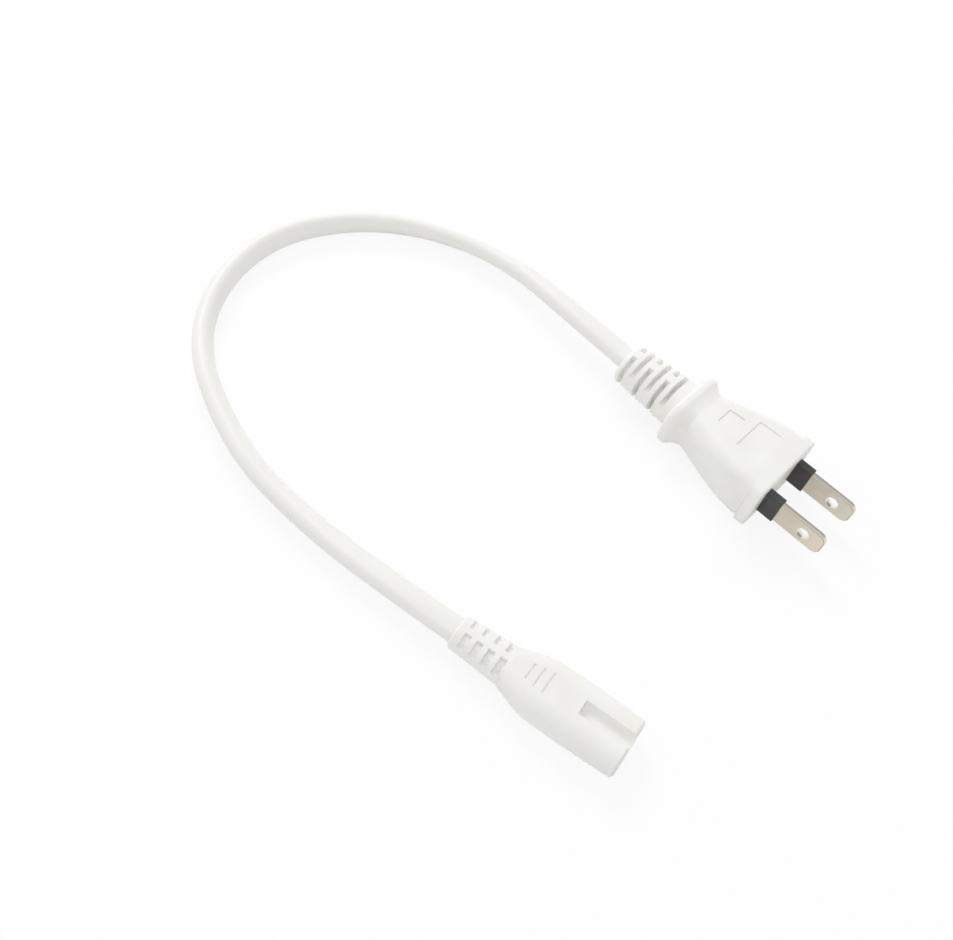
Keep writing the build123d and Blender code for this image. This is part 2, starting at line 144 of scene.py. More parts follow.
# The stage: half the floor's width, the point that the lamp shines at, the width of the camera's sensor in
# millimetres, and the nearest distance that the camera sees
FLOOR_HALF = 1.5
KEY_AIM = (-0.03, 0.0, 0.0)
CAMERA_SENSOR = 36.0
CAMERA_NEAR = 0.005


class CordSettings(bpy.types.PropertyGroup):
    """Sizes and colour of the flat cord"""

    width: bpy.props.FloatProperty(
        name="Width", description="The flat cord's wide side", default=0.006, unit="LENGTH"
    )
    thickness: bpy.props.FloatProperty(
        name="Thickness", description="The flat cord's narrow side", default=0.0041, unit="LENGTH"
    )
    length: bpy.props.FloatProperty(
        name="Length", description="The sheath's whole length, both ends in the mouldings counted",
        default=0.275, unit="LENGTH",
    )
    flatness: bpy.props.FloatProperty(
        name="Flatness", description="How soon the wide side turns into the round edge",
        default=2.4, min=1.0, subtype="FACTOR",
    )
    sides: bpy.props.IntProperty(
        name="Sides", description="Points round the cord's section", default=48, min=8, subtype="UNSIGNED"
    )
    colour: bpy.props.FloatVectorProperty(
        name="Sheath", description="Colour of the cord's sheath",
        default=(0.90, 0.895, 0.868), size=3, subtype="COLOR",
    )
    grain: bpy.props.FloatProperty(
        name="Grain", description="Depth of the sheath's fine grain",
        default=0.000012, unit="LENGTH", precision=6,
    )


class MouldingSettings(bpy.types.PropertyGroup):
    """Colours and surface of the moulded pieces"""

    white: bpy.props.FloatVectorProperty(
        name="White", description="Colour of the white mouldings",
        default=(0.93, 0.925, 0.895), size=3, subtype="COLOR",
    )
    warm: bpy.props.FloatVectorProperty(
        name="Warm white", description="Tone the white drifts to in patches",
        default=(0.895, 0.885, 0.85), size=3, subtype="COLOR",
    )
    # Painted light: a paler tone in the hollows, standing in for light that comes through the plastic into
    # them
    clean: bpy.props.FloatVectorProperty(
        name="Lit white", description="Tone of the hollows, which hands don't rub",
        default=(0.99, 0.98, 0.955), size=3, subtype="COLOR",
    )
    hollow: bpy.props.FloatProperty(
        name="Hollow", description="How near the walls of a hollow stand",
        default=0.0015, unit="LENGTH", precision=4,
    )
    # Painted shade: the tone of the nose's rounded rim, which turns away from the lamp
    rim: bpy.props.FloatVectorProperty(
        name="Rim", description="Tone of the rounded rim of the connector's nose",
        default=(0.79, 0.79, 0.785), size=3, subtype="COLOR",
    )
    black: bpy.props.FloatVectorProperty(
        name="Black", description="Colour of the sleeves round the blades",
        default=(0.069, 0.065, 0.069), size=3, subtype="COLOR",
    )
    grain: bpy.props.FloatProperty(
        name="Grain", description="Depth of the mould's fine grain",
        default=0.00002, unit="LENGTH", precision=6,
    )


class MetalSettings(bpy.types.PropertyGroup):
    """Colours of the plated pieces"""

    nickel: bpy.props.FloatVectorProperty(
        name="Bright nickel", description="Colour of the neutral blade's plating",
        default=(0.67, 0.605, 0.495), size=3, subtype="COLOR",
    )
    # The line blade is given darker tones than the neutral blade
    line_nickel: bpy.props.FloatVectorProperty(
        name="Darker nickel", description="Colour of the line blade's darker plating",
        default=(0.48, 0.437, 0.36), size=3, subtype="COLOR",
    )
    streak: bpy.props.FloatVectorProperty(
        name="Streaks", description="Tone of the rubbed streaks on both blades",
        default=(0.62, 0.555, 0.45), size=3, subtype="COLOR",
    )
    tip: bpy.props.FloatVectorProperty(
        name="Bright tip", description="Tone of the neutral blade toward its tip",
        default=(0.78, 0.708, 0.578), size=3, subtype="COLOR",
    )
    line_tip: bpy.props.FloatVectorProperty(
        name="Darker tip", description="Tone of the line blade toward its tip",
        default=(0.71, 0.668, 0.575), size=3, subtype="COLOR",
    )
    # Painted reflection: the hole walls take a pale tone and are not metallic, for the white they would
    # reflect
    hole: bpy.props.FloatVectorProperty(
        name="Holes", description="Tone of the walls of the holes",
        default=(0.95, 0.94, 0.91), size=3, subtype="COLOR",
    )
    # Painted reflection: the tone of the blades' bevels
    bevel: bpy.props.FloatVectorProperty(
        name="Bevels", description="Tone of the bevels", default=(0.52, 0.48, 0.40), size=3, subtype="COLOR"
    )
    # Painted shade on the blades' top edges and painted shadow in their holes; on the contacts, the tone of
    # their streaks
    edge: bpy.props.FloatVectorProperty(
        name="Tarnish",
        description="Tone of the blades' top edges, of the spots in their holes and of the contacts' streaks",
        default=(0.34, 0.325, 0.30), size=3, subtype="COLOR",
    )
    tin: bpy.props.FloatVectorProperty(
        name="Tin", description="Colour of the contacts",
        default=(0.62, 0.61, 0.58), size=3, subtype="COLOR",
    )


class StageSettings(bpy.types.PropertyGroup):
    """Floor, lamp, sky and camera"""

    floor: bpy.props.FloatVectorProperty(
        name="Floor", description="Colour of the floor", default=(0.97, 0.97, 0.97), size=3, subtype="COLOR"
    )
    paleness: bpy.props.FloatProperty(
        name="Paleness", description="How far the floor is shown as plain white under its shadows",
        default=0.85, min=0.0, max=1.0, subtype="FACTOR",
    )
    key_place: bpy.props.FloatVectorProperty(
        name="Key lamp", description="Where the lamp hangs",
        default=(-1.17, 0.58, 1.1), size=3, subtype="TRANSLATION",
    )
    key_size: bpy.props.FloatProperty(
        name="Key size", description="Width of the lamp", default=0.7, unit="LENGTH"
    )
    key_power: bpy.props.FloatProperty(
        name="Key power", description="Power of the lamp", default=8.2, unit="POWER"
    )
    sky: bpy.props.FloatProperty(
        name="Sky", description="Strength of the even light all round", default=0.785, subtype="FACTOR"
    )
    camera_place: bpy.props.FloatVectorProperty(
        name="Camera", description="Where the camera stands",
        default=(0.0402218, -0.1438167, 0.2149191), size=3, subtype="TRANSLATION",
    )
    camera_turn: bpy.props.FloatVectorProperty(
        name="Camera turn", description="The camera's turn about X, Y and Z",
        default=(math.radians(34.4), math.radians(-9.469), math.radians(43.456)), size=3, subtype="EULER",
    )
    lens: bpy.props.FloatProperty(
        name="Lens", description="Focal length in millimetres", default=43.44, unit="CAMERA"
    )


def group_socket(tree, name, kind, way, value=None):
    """Add a named socket to a node group."""
    socket = tree.interface.new_socket(name, in_out=way, socket_type=kind)
    if value is not None:
        socket.default_value = value


def shader_group(name, takes, gives):
    """A new shader group and the nodes at its two ends. An input given as None takes a vector."""
    tree = bpy.data.node_groups.new(name, "ShaderNodeTree")
    for socket, value in takes.items():
        kind = "NodeSocketVector" if value is None else "NodeSocketFloat"
        group_socket(tree, socket, kind, "INPUT", value)
    for socket in gives:
        group_socket(tree, socket, "NodeSocketFloat", "OUTPUT")
    return tree, tree.nodes.new("NodeGroupInput"), tree.nodes.new("NodeGroupOutput")


def work_out(tree, operation, first, second=0.0):
    """A maths node on two values, each a number or another node's output."""
    node = tree.nodes.new("ShaderNodeMath")
    node.operation = operation
    for socket, value in zip(node.inputs, (first, second)):
        if isinstance(value, (int, float)):
            socket.default_value = value
        else:
            tree.links.new(value, socket)
    return node.outputs[0]


def rise(tree, value, low, high):
    """A mask that rises from nought to one while a value goes from low to high."""
    node = tree.nodes.new("ShaderNodeMapRange")
    node.inputs["From Min"].default_value = low
    node.inputs["From Max"].default_value = high
    tree.links.new(value, node.inputs["Value"])
    return node.outputs["Result"]


def noise(tree, vector, scale, detail, roughness=0.5):
    """A noise over a vector, at the scale that another node gives."""
    node = tree.nodes.new("ShaderNodeTexNoise")
    node.inputs["Detail"].default_value = detail
    node.inputs["Roughness"].default_value = roughness
    tree.links.new(vector, node.inputs["Vector"])
    tree.links.new(scale, node.inputs["Scale"])
    return node.outputs["Fac"]


def split(tree, vector):
    """The three parts of a vector."""
    node = tree.nodes.new("ShaderNodeSeparateXYZ")
    tree.links.new(vector, node.inputs["Vector"])
    return node.outputs


def moulded_skin():
    """Shader group: the fine grain of a mould and the slow drift of its tone."""
    if "moulded_skin" in bpy.data.node_groups:
        return bpy.data.node_groups["moulded_skin"]
    takes = {"Vector": None, "Grain Scale": 5200.0, "Drift Scale": 90.0}
    tree, inputs, outputs = shader_group("moulded_skin", takes, ("Grain", "Drift"))
    place = inputs.outputs["Vector"]
    grain = noise(tree, place, inputs.outputs["Grain Scale"], detail=3.0, roughness=0.6)
    drift = noise(tree, place, inputs.outputs["Drift Scale"], detail=2.0)
    tree.links.new(grain, outputs.inputs["Grain"])
    tree.links.new(rise(tree, drift, *DRIFT_BAND), outputs.inputs["Drift"])
    return tree


def hollow_light_mask():
    """Shader group: a mask for slots and other hollows whose walls stand within a distance, where light is
    painted in.
    """
    tree, inputs, outputs = shader_group("hollow_light_mask", {"Distance": 0.0}, ("Hollow",))
    openness = tree.nodes.new("ShaderNodeAmbientOcclusion")
    openness.only_local = True
    openness.samples = HOLLOW_SAMPLES
    tree.links.new(inputs.outputs["Distance"], openness.inputs["Distance"])
    tree.links.new(rise(tree, openness.outputs["AO"], *HOLLOW_BAND), outputs.inputs["Hollow"])
    return tree


def along_nose(tree, vector):
    """How far a vector reaches the way the connector's nose points."""
    node = tree.nodes.new("ShaderNodeVectorMath")
    node.operation = "DOT_PRODUCT"
    node.inputs[1].default_value = NOSE_WAY
    tree.links.new(vector, node.inputs[0])
    return node.outputs["Value"]


def nose_rim_shade():
    """Shader group: a mask for painted shade on the rounded rim of the connector's nose, but not on its flat
    front.
    """
    tree, inputs, outputs = shader_group("nose_rim_shade", {"Vector": None, "Normal": None}, ("Rim",))
    facing = along_nose(tree, inputs.outputs["Normal"])
    rounded = work_out(
        tree, "MULTIPLY", rise(tree, facing, *RIM_FROM_SIDE), rise(tree, facing, *RIM_FROM_FRONT)
    )
    ahead = rise(tree, along_nose(tree, inputs.outputs["Vector"]), *RIM_BAND)
    tree.links.new(work_out(tree, "MULTIPLY", rounded, ahead), outputs.inputs["Rim"])
    return tree


def rubbed_plating():
    """Shader group: streaks along X left by drawing and by use, and a few small scuffs."""
    if "rubbed_plating" in bpy.data.node_groups:
        return bpy.data.node_groups["rubbed_plating"]
    takes = {"Vector": None, "Streak Scale": 1400.0, "Scuff Scale": 420.0}
    tree, inputs, outputs = shader_group("rubbed_plating", takes, ("Streak", "Scuff"))
    place = inputs.outputs["Vector"]
    drawn = tree.nodes.new("ShaderNodeMapping")
    drawn.inputs["Scale"].default_value = STREAK_STRETCH
    tree.links.new(place, drawn.inputs["Vector"])
    streak = noise(tree, drawn.outputs["Vector"], inputs.outputs["Streak Scale"], detail=4.0)
    scuff = noise(tree, place, inputs.outputs["Scuff Scale"], detail=3.0)
    tree.links.new(streak, outputs.inputs["Streak"])
    tree.links.new(rise(tree, scuff, *SCUFF_BAND), outputs.inputs["Scuff"])
    return tree


def blade_wear():
    """Shader group: masks for the blades' tips, painted reflection on bevels and hole walls, painted shade on
    top edges and a painted shadow spot in each hole.
    """
    if "blade_wear" in bpy.data.node_groups:
        return bpy.data.node_groups["blade_wear"]
    gives = ("Tip", "Bevel", "Edge", "Hole", "Hole Spot")
    tree, inputs, outputs = shader_group("blade_wear", {"Vector": None, "Normal": None}, gives)
    place = split(tree, inputs.outputs["Vector"])
    facing = split(tree, inputs.outputs["Normal"])

    tip = rise(tree, place["X"], *TIP_BAND)

    # Painted reflection on the bevels
    slope = work_out(tree, "ABSOLUTE", facing["Y"])
    bevel = work_out(
        tree, "MULTIPLY", rise(tree, slope, *BEVEL_FROM_EDGE), rise(tree, slope, *BEVEL_FROM_FACE)
    )

    behind = work_out(tree, "SUBTRACT", place["Y"], BLADE_NEAR_FACE)
    across = work_out(tree, "MODULO", behind, BLADE_PITCH)
    # Painted shade along the far part of each blade's top edge
    edge_shade_across = rise(tree, across, *EDGE_SHADE_BAND)
    edge = work_out(tree, "MULTIPLY", edge_shade_across, rise(tree, facing["Z"], *UPPER_EDGE))

    # The walls of the holes, painted pale as a reflection
    ahead = work_out(tree, "SUBTRACT", place["X"], HOLE_X)
    above = work_out(tree, "SUBTRACT", place["Z"], HOLE_Z)
    squares = [work_out(tree, "POWER", part, 2.0) for part in (ahead, above)]
    apart = work_out(tree, "SQRT", work_out(tree, "ADD", *squares))
    hole = work_out(tree, "LESS_THAN", apart, HOLE_REACH * HOLE_RADIUS)

    # A painted shadow spot toward the bottom of each hole
    aside = work_out(tree, "MULTIPLY", ahead, SPOT_WAY[0])
    below = work_out(tree, "MULTIPLY", above, SPOT_WAY[1])
    aslant = work_out(tree, "DIVIDE", work_out(tree, "ADD", aside, below), HOLE_RADIUS)
    patch = work_out(tree, "MULTIPLY", rise(tree, aslant, *SPOT_BAND), rise(tree, across, *SPOT_DEPTH))
    spot = work_out(tree, "MULTIPLY", hole, patch)

    for name, mask in zip(gives, (tip, bevel, edge, hole, spot)):
        tree.links.new(mask, outputs.inputs[name])
    return tree


def place_group(material, tree):
    """Put a shader group in a material, on the object's coordinates and normals where it asks for them."""
    nodes, links = material.node_tree.nodes, material.node_tree.links
    group = nodes.new("ShaderNodeGroup")
    group.node_tree = tree
    for asked, source in (("Vector", "Object"), ("Normal", "Normal")):
        if asked in group.inputs:
            place = nodes.new("ShaderNodeTexCoord")
            links.new(place.outputs[source], group.inputs[asked])
    return group


def new_material(name):
    """A material with a plain Principled shader, and that shader."""
    material = bpy.data.materials.new(name)
    material.use_nodes = True
    return material, material.node_tree.nodes["Principled BSDF"]


def blend_colours(material, factor, first, second):
    """Mix two colours by a mask; the first may come from another mix."""
    nodes, links = material.node_tree.nodes, material.node_tree.links
    mix = nodes.new("ShaderNodeMix")
    mix.data_type = "RGBA"
    if isinstance(first, bpy.types.NodeSocket):
        links.new(first, mix.inputs["A"])
    else:
        mix.inputs["A"].default_value = (*first, 1.0)
    mix.inputs["B"].default_value = (*second, 1.0)
    links.new(factor, mix.inputs["Factor"])
    return mix.outputs["Result"]


def spread_roughness(material, factor, band, shader):
    """Spread a mask over a band of roughness."""
    nodes, links = material.node_tree.nodes, material.node_tree.links
    spread = nodes.new("ShaderNodeMapRange")
    spread.inputs["To Min"].default_value, spread.inputs["To Max"].default_value = band
    links.new(factor, spread.inputs["Value"])
    links.new(spread.outputs["Result"], shader.inputs["Roughness"])


def raise_grain(material, height, depth, strength, shader):
    """Raise a height as a bump of the given depth, and return the bump."""
    nodes, links = material.node_tree.nodes, material.node_tree.links
    bump = nodes.new("ShaderNodeBump")
    bump.inputs["Strength"].default_value = strength
    bump.inputs["Distance"].default_value = depth
    links.new(height, bump.inputs["Height"])
    links.new(bump.outputs["Normal"], shader.inputs["Normal"])
    return bump


def soften_edges(material, bump):
    """Round the sharp edges in the shading, under the grain."""
    rounded = material.node_tree.nodes.new("ShaderNodeBevel")
    rounded.samples = EDGE_SAMPLES
    rounded.inputs["Radius"].default_value = EDGE_SOFTNESS
    material.node_tree.links.new(rounded.outputs["Normal"], bump.inputs["Normal"])


def moulded_plastic(name, first, second, roughness, grain, soft=0.0):
    """A moulded plastic: two close tones, a band of roughness, fine grain, and soft if light sinks in."""
    material, shader = new_material(name)
    skin = place_group(material, moulded_skin())
    tone = blend_colours(material, skin.outputs["Drift"], first, second)
    material.node_tree.links.new(tone, shader.inputs["Base Color"])
    spread_roughness(material, skin.outputs["Drift"], roughness, shader)
    bump = raise_grain(material, skin.outputs["Grain"], grain, GRAIN_STRENGTH, shader)
    soften_edges(material, bump)
    shader.inputs["Specular IOR Level"].default_value = PLASTIC_SHINE
    if soft:
        shader.inputs["Subsurface Weight"].default_value = soft
        shader.inputs["Subsurface Radius"].default_value = SOFT_COLOURS
        shader.inputs["Subsurface Scale"].default_value = SOFT_DEPTH
    return material


def plated_metal(name, first, second, roughness):
    """A plated metal with streaks along X and small scuffs."""
    material, shader = new_material(name)
    rubbed = place_group(material, rubbed_plating())
    streaked = blend_colours(material, rubbed.outputs["Streak"], first, second)
    material.node_tree.links.new(streaked, shader.inputs["Base Color"])
    spread_roughness(material, rubbed.outputs["Scuff"], roughness, shader)
    raise_grain(material, rubbed.outputs["Streak"], STREAK_DEPTH, STREAK_STRENGTH, shader)
    shader.inputs["Metallic"].default_value = 1.0
    return material


def tint(material, tree, tones):
    """Tint a material by the masks of a shader group, one after another, and return the group."""
    shader = material.node_tree.nodes["Principled BSDF"]
    tone = shader.inputs["Base Color"].links[0].from_socket
    group = place_group(material, tree)
    for mask, colour in tones:
        tone = blend_colours(material, group.outputs[mask], tone, colour)
    material.node_tree.links.new(tone, shader.inputs["Base Color"])
    return group


def blade_plating(name, nickel, tip, settings):
    """A blade's plating: brighter toward the tip, with painted reflection on the bevels, painted shade on the
    top edge, a painted shadow spot in the hole and pale, not metallic, painted reflection on the hole's
    walls.
    """
    material = plated_metal(name, nickel, settings.streak, BLADE_ROUGHNESS)
    # Painted reflection on the bevels and hole walls, painted shade on the top edges and painted shadow in
    # the holes
    tones = (
        ("Tip", tip),
        ("Bevel", settings.bevel),
        ("Edge", settings.edge),
        ("Hole", settings.hole),
        ("Hole Spot", settings.edge),
    )
    wear = tint(material, blade_wear(), tones)
    # The hole walls are not metallic, so their painted reflection stays pale
    plated = work_out(material.node_tree, "SUBTRACT", 1.0, wear.outputs["Hole"])
    shader = material.node_tree.nodes["Principled BSDF"]
    material.node_tree.links.new(plated, shader.inputs["Metallic"])
    return material


def dress(node, material):
    """Give a CAD node its material."""
    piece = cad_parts[node]
    piece.data.materials.clear()
    piece.data.materials.append(material)


def cord_lean(distance):
    """The cord's lean in radians at a distance along it, growing evenly between the listed places."""
    for (near, low), (far, high) in zip(CORD_LEAN, CORD_LEAN[1:]):
        if distance <= far:
            share = (distance - near) / (far - near)
            return math.radians(low + (high - low) * share)
    return math.radians(CORD_LEAN[-1][1])


def route_points():
    """Points along the route's smooth spline."""
    curve = bpy.data.curves.new("cord_route", "CURVE")
    curve.dimensions = "3D"
    curve.resolution_u = ROUTE_STEPS
    spline = curve.splines.new("NURBS")
    spline.points.add(len(CORD_ROUTE) - 1)
    for point, place in zip(spline.points, CORD_ROUTE):
        point.co = (*place, 1.0)
    spline.order_u = 3
    spline.use_endpoint_u = True
    carrier = bpy.data.objects.new("cord_route", curve)
    bpy.context.scene.collection.objects.link(carrier)
    graph = bpy.context.evaluated_depsgraph_get()
    line = bpy.data.meshes.new_from_object(carrier.evaluated_get(graph), depsgraph=graph)
    points = [vertex.co.copy() for vertex in line.vertices]
    bpy.data.objects.remove(carrier)
    bpy.data.curves.remove(curve)
    bpy.data.meshes.remove(line)
    return points


def leaning_line(points):
    """A mesh line through the points, with the cord's lean at each of them."""
    line = bpy.data.meshes.new("cord_line")
    line.from_pydata(points, [(index, index + 1) for index in range(len(points) - 1)], [])
    lean = line.attributes.new("lean", "FLOAT", "POINT")
    run = 0.0
    for index, point in enumerate(points):
        if index:
            run += (point - points[index - 1]).length
        lean.data[index].value = cord_lean(run)
    return line


def flat_cord_tree():
    """Geometry nodes: a flat section, round at its edges, carried along the input line with its lean."""
    tree = bpy.data.node_groups.new("flat_cord", "GeometryNodeTree")
    group_socket(tree, "Geometry", "NodeSocketGeometry", "INPUT")
    for name in ("Width", "Thickness", "Flatness"):
        group_socket(tree, name, "NodeSocketFloat", "INPUT")
    group_socket(tree, "Sides", "NodeSocketInt", "INPUT")
    group_socket(tree, "Sheath", "NodeSocketMaterial", "INPUT")
    group_socket(tree, "Geometry", "NodeSocketGeometry", "OUTPUT")
    nodes, links = tree.nodes, tree.links
    inputs = nodes.new("NodeGroupInput")
    outputs = nodes.new("NodeGroupOutput")

    # The section starts as a circle of radius one. Its left and right halves are pulled apart.
    ring = nodes.new("GeometryNodeCurvePrimitiveCircle")
    ring.inputs["Radius"].default_value = 1.0
    links.new(inputs.outputs["Sides"], ring.inputs["Resolution"])
    here = split(tree, nodes.new("GeometryNodeInputPosition").outputs["Position"])
    pulled = work_out(tree, "MULTIPLY", here["X"], inputs.outputs["Flatness"])
    side = work_out(tree, "MINIMUM", work_out(tree, "MAXIMUM", pulled, -1.0), 1.0)
    half_wide = work_out(tree, "MULTIPLY", inputs.outputs["Width"], 0.5)
    half_thick = work_out(tree, "MULTIPLY", inputs.outputs["Thickness"], 0.5)
    flat = work_out(tree, "MULTIPLY", side, work_out(tree, "SUBTRACT", half_wide, half_thick))
    across = work_out(tree, "ADD", flat, work_out(tree, "MULTIPLY", here["X"], half_thick))
    together = nodes.new("ShaderNodeCombineXYZ")
    links.new(across, together.inputs["X"])
    links.new(work_out(tree, "MULTIPLY", here["Y"], half_thick), together.inputs["Y"])
    section = nodes.new("GeometryNodeSetPosition")
    links.new(ring.outputs["Curve"], section.inputs["Geometry"])
    links.new(together.outputs["Vector"], section.inputs["Position"])

    line = nodes.new("GeometryNodeMeshToCurve")
    links.new(inputs.outputs["Geometry"], line.inputs["Mesh"])
    upright = nodes.new("GeometryNodeSetCurveNormal")
    upright.mode = "Z_UP"
    links.new(line.outputs["Curve"], upright.inputs["Curve"])
    lean = nodes.new("GeometryNodeInputNamedAttribute")
    lean.data_type = "FLOAT"
    lean.inputs["Name"].default_value = "lean"
    leaned = nodes.new("GeometryNodeSetCurveTilt")
    links.new(upright.outputs["Curve"], leaned.inputs["Curve"])
    links.new(lean.outputs["Attribute"], leaned.inputs["Tilt"])

    tube = nodes.new("GeometryNodeCurveToMesh")
    tube.inputs["Fill Caps"].default_value = True
    links.new(leaned.outputs["Curve"], tube.inputs["Curve"])
    links.new(section.outputs["Geometry"], tube.inputs["Profile Curve"])
    whole = nodes.new("GeometryNodeRealizeInstances")
    links.new(tube.outputs["Mesh"], whole.inputs["Geometry"])
    coloured = nodes.new("GeometryNodeSetMaterial")
    links.new(whole.outputs["Geometry"], coloured.inputs["Geometry"])
    links.new(inputs.outputs["Sheath"], coloured.inputs["Material"])
    links.new(coloured.outputs["Geometry"], outputs.inputs["Geometry"])
    return tree


def set_input(modifier, name, value):
    """Set a geometry nodes input by the identifier of the socket with that name."""
    for item in modifier.node_group.interface.items_tree:
        if item.item_type == "SOCKET" and item.in_out == "INPUT" and item.name == name:
            modifier[item.identifier] = value
            return
    raise KeyError(name)


class MAINS_OT_lay_cord(bpy.types.Operator):
    """Lay the flat cord along its route, flat at both ends and leaning over round the bend"""

    bl_idname = "mains.lay_cord"
    bl_label = "Lay Cord"

    def execute(self, context):
        settings = context.scene.mains_cord
        warm = context.scene.mains_moulding.warm
        points = route_points()
        sheath = moulded_plastic("cord_sheath", settings.colour, warm, CORD_ROUGHNESS, settings.grain, SOFT)
        maker = bpy.data.objects.new("cord_maker", leaning_line(points))
        context.scene.collection.objects.link(maker)
        modifier = maker.modifiers.new("flat_cord", "NODES")
        modifier.node_group = flat_cord_tree()
        for name, value in (
            ("Width", settings.width),
            ("Thickness", settings.thickness),
            ("Flatness", settings.flatness),
            ("Sides", settings.sides),
            ("Sheath", sheath),
        ):
            set_input(modifier, name, value)
        graph = context.evaluated_depsgraph_get()
        tube = bpy.data.meshes.new_from_object(maker.evaluated_get(graph), depsgraph=graph)
        bpy.data.objects.remove(maker)
        tube.name = "flat_cord"
        tube.polygons.foreach_set("use_smooth", [len(face.vertices) == 4 for face in tube.polygons])
        cord = bpy.data.objects.new("flat_cord", tube)
        context.scene.collection.objects.link(cord)
        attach(cord, "root")
        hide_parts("cord")
        return {"FINISHED"}


class MAINS_OT_finish_mouldings(bpy.types.Operator):
    """Finish the plug, the connector and the black blade holder as moulded plastic, with painted light in the
    hollows and painted shade on the connector's rim
    """

    bl_idname = "mains.finish_mouldings"
    bl_label = "Finish Mouldings"

    def execute(self, context):
        settings = context.scene.mains_moulding
        white = moulded_plastic(
            "white_moulding", settings.white, settings.warm, WHITE_ROUGHNESS, settings.grain, SOFT
        )
        # Painted light: the hollows take a paler tone
        hollows = tint(white, hollow_light_mask(), [("Hollow", settings.clean)])
        hollows.inputs["Distance"].default_value = settings.hollow
        nose = white.copy()
        nose.name = "connector_moulding"
        # Painted shade on the nose's rounded rim, which turns away from the lamp
        tint(nose, nose_rim_shade(), [("Rim", settings.rim)])
        deep = [BLACK_DRIFT * part for part in settings.black]
        black = moulded_plastic("black_moulding", settings.black, deep, BLACK_ROUGHNESS, settings.grain)
        dress("plug_body", white)
        dress("contact_carrier", white)
        dress("connector_body", nose)
        dress("blade_holder", black)
        return {"FINISHED"}


class MAINS_OT_finish_metal(bpy.types.Operator):
    """Finish the blades as plated metal with painted reflection and shade, the contacts as tin and the cores
    as coated copper
    """

    bl_idname = "mains.finish_metal"
    bl_label = "Finish Metal"

    def execute(self, context):
        settings = context.scene.mains_metal
        moulding = context.scene.mains_moulding
        dress("blade_line", blade_plating("line_plating", settings.line_nickel, settings.line_tip, settings))
        dress("blade_neutral", blade_plating("bright_nickel", settings.nickel, settings.tip, settings))
        tin = plated_metal("tinned_contact", settings.tin, settings.edge, CONTACT_ROUGHNESS)
        insulation = moulded_plastic(
            "core_insulation", moulding.white, moulding.warm, INSULATION_ROUGHNESS, moulding.grain
        )
        for pole in ("line", "neutral"):
            dress(f"contact_{pole}", tin)
            dress(f"plug_core_{pole}", insulation)
            dress(f"connector_core_{pole}", insulation)
        return {"FINISHED"}


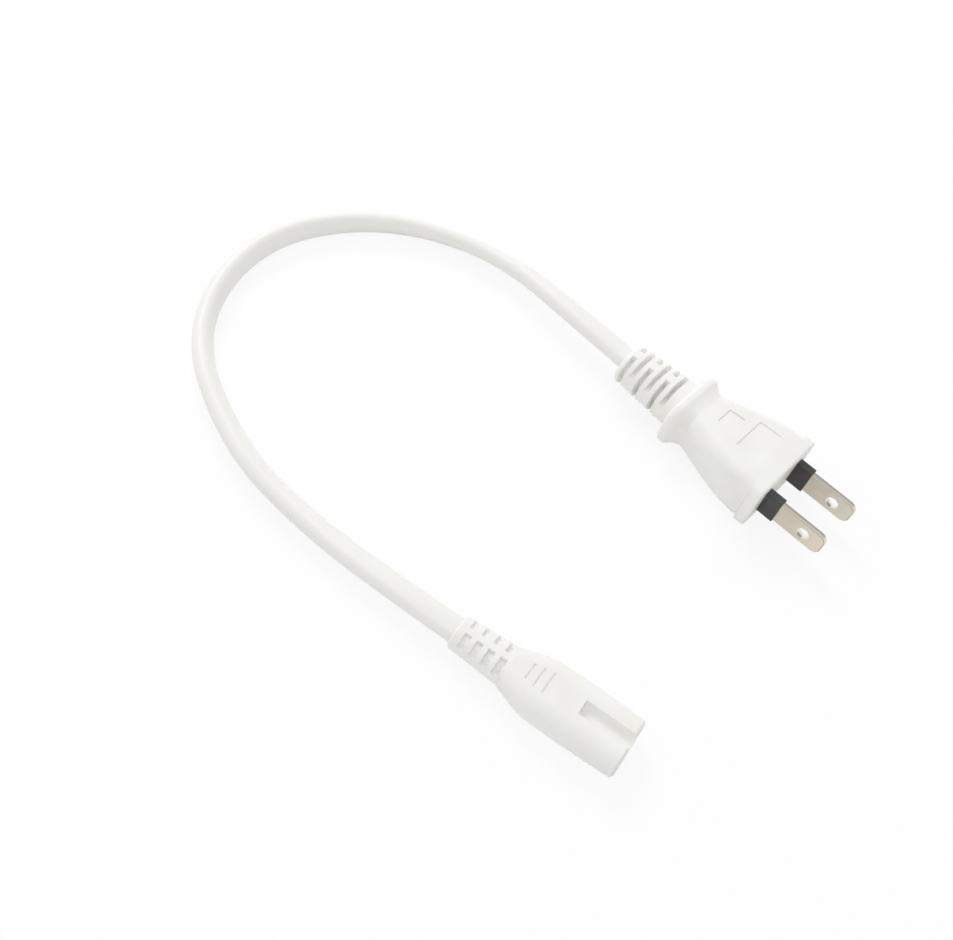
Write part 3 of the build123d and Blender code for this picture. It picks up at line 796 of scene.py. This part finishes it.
class MAINS_OT_set_stage(bpy.types.Operator):
    """Set the white floor, the soft lamp, the even sky and the camera"""

    bl_idname = "mains.set_stage"
    bl_label = "Set Stage"

    def execute(self, context):
        scene = context.scene
        settings = scene.mains_stage
        self.lay_floor(scene, settings)
        self.light_sky(scene, settings)
        self.hang_lamp(scene, settings)
        self.stand_camera(scene, settings)
        scene.view_settings.view_transform = "Standard"
        return {"FINISHED"}

    def seen_directly(self, tree):
        """One for rays that show the background as it is: camera, glossy and transmission rays."""
        path = tree.nodes.new("ShaderNodeLightPath").outputs
        shown = work_out(tree, "MAXIMUM", path["Is Camera Ray"], path["Is Glossy Ray"])
        return work_out(tree, "MAXIMUM", shown, path["Is Transmission Ray"])

    def mix_shaders(self, tree, share, first, second):
        """Mix two shaders by a share, which is a number or another node's output."""
        mix = tree.nodes.new("ShaderNodeMixShader")
        if isinstance(share, float):
            mix.inputs["Fac"].default_value = share
        else:
            tree.links.new(share, mix.inputs["Fac"])
        tree.links.new(first, mix.inputs[1])
        tree.links.new(second, mix.inputs[2])
        return mix.outputs["Shader"]

    def lay_floor(self, scene, settings):
        """A matt floor, which rays that see it directly find paler."""
        corners = [(x * FLOOR_HALF, y * FLOOR_HALF, 0.0) for x, y in ((-1, -1), (1, -1), (1, 1), (-1, 1))]
        mesh = bpy.data.meshes.new("floor")
        mesh.from_pydata(corners, [], [(0, 1, 2, 3)])
        floor = bpy.data.objects.new("floor", mesh)
        scene.collection.objects.link(floor)
        material = bpy.data.materials.new("white_floor")
        material.use_nodes = True
        tree = material.node_tree
        tree.nodes.clear()
        matt = tree.nodes.new("ShaderNodeBsdfDiffuse")
        matt.inputs["Color"].default_value = (*settings.floor, 1.0)
        glow = tree.nodes.new("ShaderNodeEmission")
        glow.inputs["Color"].default_value = (1.0, 1.0, 1.0, 1.0)
        paled = self.mix_shaders(tree, settings.paleness, matt.outputs["BSDF"], glow.outputs["Emission"])
        shown = self.mix_shaders(tree, self.seen_directly(tree), matt.outputs["BSDF"], paled)
        out = tree.nodes.new("ShaderNodeOutputMaterial")
        tree.links.new(shown, out.inputs["Surface"])
        mesh.materials.append(material)

    def light_sky(self, scene, settings):
        """An even white light all round, which rays that see it directly find plain white."""
        world = bpy.data.worlds.new("even_sky")
        world.use_nodes = True
        tree = world.node_tree
        tree.nodes.clear()
        skies = []
        for strength in (settings.sky, 1.0):
            sky = tree.nodes.new("ShaderNodeBackground")
            sky.inputs["Color"].default_value = (1.0, 1.0, 1.0, 1.0)
            sky.inputs["Strength"].default_value = strength
            skies.append(sky.outputs["Background"])
        out = tree.nodes.new("ShaderNodeOutputWorld")
        tree.links.new(self.mix_shaders(tree, self.seen_directly(tree), *skies), out.inputs["Surface"])
        scene.world = world

    def hang_lamp(self, scene, settings):
        """A round soft lamp that shines at the middle of the cord's loop."""
        lamp = bpy.data.lights.new("key_lamp", "AREA")
        lamp.shape = "DISK"
        lamp.size = settings.key_size
        lamp.energy = settings.key_power
        holder = bpy.data.objects.new("key_lamp", lamp)
        scene.collection.objects.link(holder)
        holder.location = settings.key_place
        aim = Vector(KEY_AIM) - Vector(settings.key_place)
        holder.rotation_euler = aim.to_track_quat("-Z", "Y").to_euler()

    def stand_camera(self, scene, settings):
        """The camera, in front of the plug and above it."""
        camera = bpy.data.objects.new("camera", bpy.data.cameras.new("camera"))
        scene.collection.objects.link(camera)
        camera.location = settings.camera_place
        camera.rotation_euler = settings.camera_turn
        camera.data.lens = settings.lens
        camera.data.sensor_width = CAMERA_SENSOR
        camera.data.clip_start = CAMERA_NEAR
        scene.camera = camera


class MAINS_PT_cord(bpy.types.Panel):
    """Sizes, colours and steps of the mains cord"""

    bl_idname = "MAINS_PT_cord"
    bl_label = "Mains Cord"
    bl_space_type = "VIEW_3D"
    bl_region_type = "UI"
    bl_category = "Mains Cord"

    def draw(self, context):
        scene = context.scene
        for title, settings, operator in (
            ("Cord", scene.mains_cord, "mains.lay_cord"),
            ("Mouldings", scene.mains_moulding, "mains.finish_mouldings"),
            ("Metal", scene.mains_metal, "mains.finish_metal"),
            ("Stage", scene.mains_stage, "mains.set_stage"),
        ):
            box = self.layout.box()
            box.label(text=title)
            for name in settings.__annotations__:
                box.prop(settings, name)
            box.operator(operator)


CLASSES = (
    CordSettings,
    MouldingSettings,
    MetalSettings,
    StageSettings,
    MAINS_OT_lay_cord,
    MAINS_OT_finish_mouldings,
    MAINS_OT_finish_metal,
    MAINS_OT_set_stage,
    MAINS_PT_cord,
)


def register():
    for item in CLASSES:
        bpy.utils.register_class(item)
    bpy.types.Scene.mains_cord = bpy.props.PointerProperty(type=CordSettings)
    bpy.types.Scene.mains_moulding = bpy.props.PointerProperty(type=MouldingSettings)
    bpy.types.Scene.mains_metal = bpy.props.PointerProperty(type=MetalSettings)
    bpy.types.Scene.mains_stage = bpy.props.PointerProperty(type=StageSettings)


def unregister():
    del bpy.types.Scene.mains_stage
    del bpy.types.Scene.mains_metal
    del bpy.types.Scene.mains_moulding
    del bpy.types.Scene.mains_cord
    for item in reversed(CLASSES):
        bpy.utils.unregister_class(item)


def main():
    register()
    bpy.ops.mains.lay_cord()
    bpy.ops.mains.finish_mouldings()
    bpy.ops.mains.finish_metal()
    bpy.ops.mains.set_stage()


if __name__ == "__main__":
    main()
